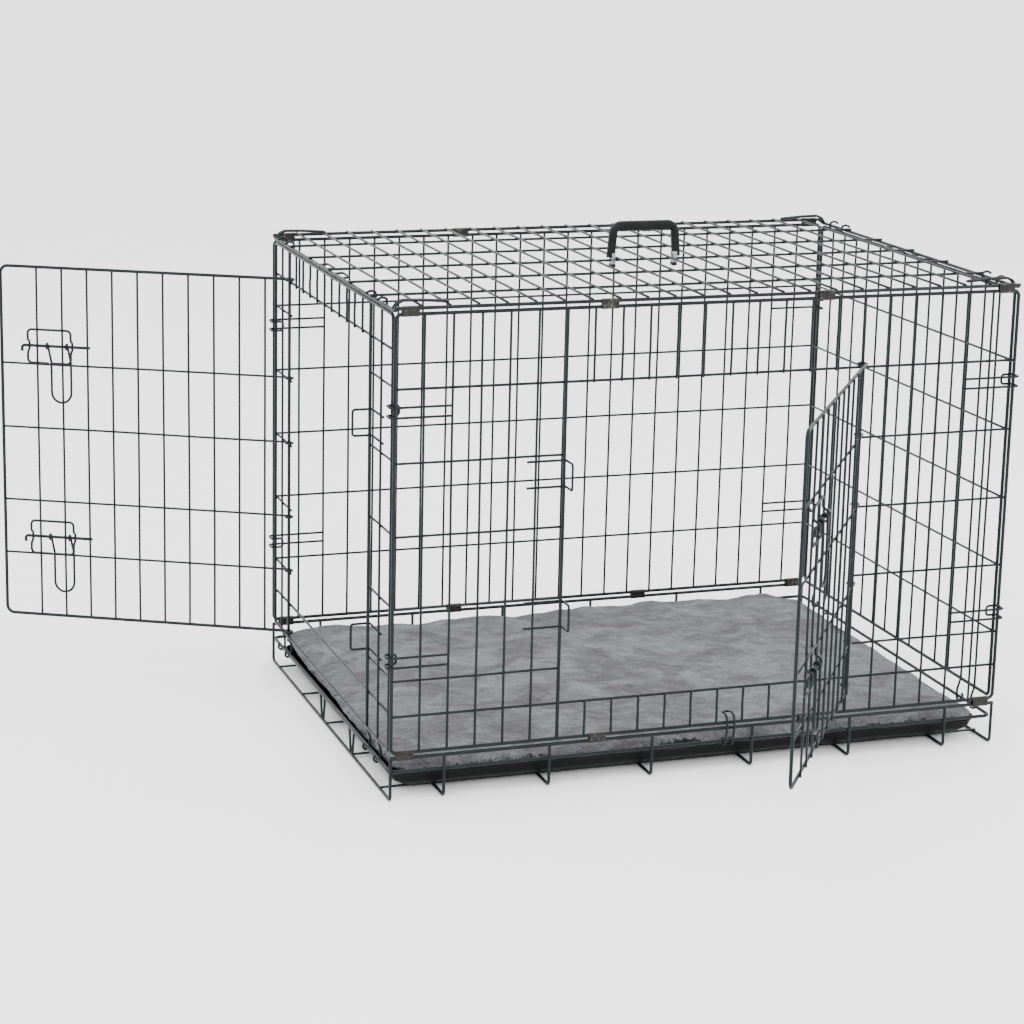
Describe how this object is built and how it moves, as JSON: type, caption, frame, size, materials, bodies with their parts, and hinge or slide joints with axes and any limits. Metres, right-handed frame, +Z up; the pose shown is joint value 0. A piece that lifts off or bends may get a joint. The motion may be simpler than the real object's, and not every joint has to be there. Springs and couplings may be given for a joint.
{
  "type": "folding wire dog crate",
  "caption": "Wire dog crate with hinged side and end doors, slide bolts, folding end panels, a tray with a plush mat and a carry handle.",
  "frame": {"origin": "on the floor, under the middle of the fifth of the eight floor legs, on the crate's middle line front to back", "axes": "+X along the crate's length towards the end with no door, +Y from the front door's panel to the back panel, +Z up"},
  "size_m": [1.5309, 1.3294, 0.8505],
  "materials": {
    "wire_paint": "satin",
    "crimp_steel": "satin",
    "strap_steel": "polished",
    "tray_plastic": "matte",
    "grip_plastic": "satin",
    "mat_plush": "plush"
  },
  "bodies": {
    "crate": {"base_basket": "wire_paint", "top_panel": "wire_paint", "front_panel": "wire_paint", "back_panel": "wire_paint", "clip_front_top_1": "crimp_steel", "clip_front_top_2": "crimp_steel", "clip_front_top_3": "crimp_steel", "clip_front_top_4": "crimp_steel", "clip_front_bottom_1": "crimp_steel", "clip_front_bottom_2": "crimp_steel", "clip_front_bottom_3": "crimp_steel", "clip_front_bottom_4": "crimp_steel", "clip_back_top_1": "crimp_steel", "clip_back_top_2": "crimp_steel", "clip_back_top_3": "crimp_steel", "clip_back_top_4": "crimp_steel", "clip_back_bottom_1": "crimp_steel", "clip_back_bottom_2": "crimp_steel", "clip_back_bottom_3": "crimp_steel", "clip_back_bottom_4": "crimp_steel", "side_catch_front_left_upper": "wire_paint", "side_catch_front_left_lower": "wire_paint", "side_catch_front_right_upper": "wire_paint", "side_catch_front_right_lower": "wire_paint", "side_catch_back_left_upper": "wire_paint", "side_catch_back_left_lower": "wire_paint", "side_catch_back_right_upper": "wire_paint", "side_catch_back_right_lower": "wire_paint", "front_upper_catch": "wire_paint", "front_lower_catch": "wire_paint"},
    "left_end": {"left_end_panel": "wire_paint", "left_upper_catch": "wire_paint", "left_lower_catch": "wire_paint"},
    "right_end": {"right_end_panel": "wire_paint"},
    "left_door_body": {"left_door": "wire_paint", "left_upper_bolt_keeper": "wire_paint", "left_lower_bolt_keeper": "wire_paint"},
    "front_door_body": {"front_door": "wire_paint", "front_upper_bolt_keeper": "wire_paint", "front_lower_bolt_keeper": "wire_paint"},
    "handle": {"handle_grip": "grip_plastic", "handle_strap_left": "strap_steel", "handle_strap_right": "strap_steel"},
    "hook": {"fold_hook": "wire_paint"},
    "tray_body": {"tray": "tray_plastic"},
    "mat_body": {"mat": "mat_plush"},
    "left_upper_bolt": {"left_upper_bolt_rod": "wire_paint"},
    "left_upper_bolt_pull": {"left_upper_bolt_loop": "wire_paint"},
    "left_lower_bolt": {"left_lower_bolt_rod": "wire_paint"},
    "left_lower_bolt_pull": {"left_lower_bolt_loop": "wire_paint"},
    "front_upper_bolt": {"front_upper_bolt_rod": "wire_paint"},
    "front_upper_bolt_pull": {"front_upper_bolt_loop": "wire_paint"},
    "front_lower_bolt": {"front_lower_bolt_rod": "wire_paint"},
    "front_lower_bolt_pull": {"front_lower_bolt_loop": "wire_paint"}
  },
  "joints": [
    {"name": "left_door_swing", "type": "hinge", "parent": "left_end", "child": "left_door_body", "pos_m": [-0.61717, 0.26583, 0.4], "axis": [0, 0, -1], "range_deg": [-118, 42]},
    {"name": "front_door_swing", "type": "hinge", "parent": "crate", "child": "front_door_body", "pos_m": [0.16483, -0.375, 0.4], "axis": [0, 0, 1], "range_deg": [-54.5, 105.5]},
    {"name": "left_upper_bolt_slide", "type": "slide", "parent": "left_door_body", "child": "left_upper_bolt", "axis": [-0.8829, 0.4695, 0], "range_m": [0, 0.028]},
    {"name": "left_upper_bolt_loop_lift", "type": "hinge", "parent": "left_upper_bolt", "child": "left_upper_bolt_pull", "pos_m": [-0.98573, 0.48219, 0.58054], "axis": [0.8829, -0.4695, 0], "range_deg": [0, 100]},
    {"name": "left_lower_bolt_slide", "type": "slide", "parent": "left_door_body", "child": "left_lower_bolt", "axis": [-0.8829, 0.4695, 0], "range_m": [0, 0.028]},
    {"name": "left_lower_bolt_loop_lift", "type": "hinge", "parent": "left_lower_bolt", "child": "left_lower_bolt_pull", "pos_m": [-0.98573, 0.48219, 0.2308], "axis": [0.8829, -0.4695, 0], "range_deg": [0, 100]},
    {"name": "front_upper_bolt_slide", "type": "slide", "parent": "front_door_body", "child": "front_upper_bolt", "axis": [-0.5807, -0.8141, 0], "range_m": [0, 0.028]},
    {"name": "front_upper_bolt_loop_lift", "type": "hinge", "parent": "front_upper_bolt", "child": "front_upper_bolt_pull", "pos_m": [-0.06847, -0.73308, 0.51384], "axis": [-0.5807, -0.8141, 0], "range_deg": [0, 100]},
    {"name": "front_lower_bolt_slide", "type": "slide", "parent": "front_door_body", "child": "front_lower_bolt", "axis": [-0.5807, -0.8141, 0], "range_m": [0, 0.028]},
    {"name": "front_lower_bolt_loop_lift", "type": "hinge", "parent": "front_lower_bolt", "child": "front_lower_bolt_pull", "pos_m": [-0.06847, -0.73308, 0.2859], "axis": [-0.5807, -0.8141, 0], "range_deg": [0, 100]},
    {"name": "handle_swing", "type": "hinge", "parent": "crate", "child": "handle", "pos_m": [-0.06817, 0, 0.7845], "axis": [1, 0, 0], "range_deg": [-75, 75]},
    {"name": "right_end_fold", "type": "hinge", "parent": "crate", "child": "right_end", "pos_m": [0.44083, 0, 0.047], "axis": [0, 1, 0], "range_deg": [-70, 0]},
    {"name": "left_end_fold", "type": "hinge", "parent": "crate", "child": "left_end", "pos_m": [-0.61717, 0, 0.047], "axis": [0, -1, 0], "range_deg": [-12, 0]},
    {"name": "fold_hook_swing", "type": "hinge", "parent": "crate", "child": "hook", "pos_m": [-0.04217, -0.3711, 0.047], "axis": [1, 0, 0], "range_deg": [0, 95]},
    {"name": "tray_lift", "type": "slide", "parent": "crate", "child": "tray_body", "axis": [0, 0, 1], "range_m": [0, 0.1]},
    {"name": "mat_lift", "type": "slide", "parent": "tray_body", "child": "mat_body", "axis": [0, 0, 1], "range_m": [0, 0.1]}
  ]
}
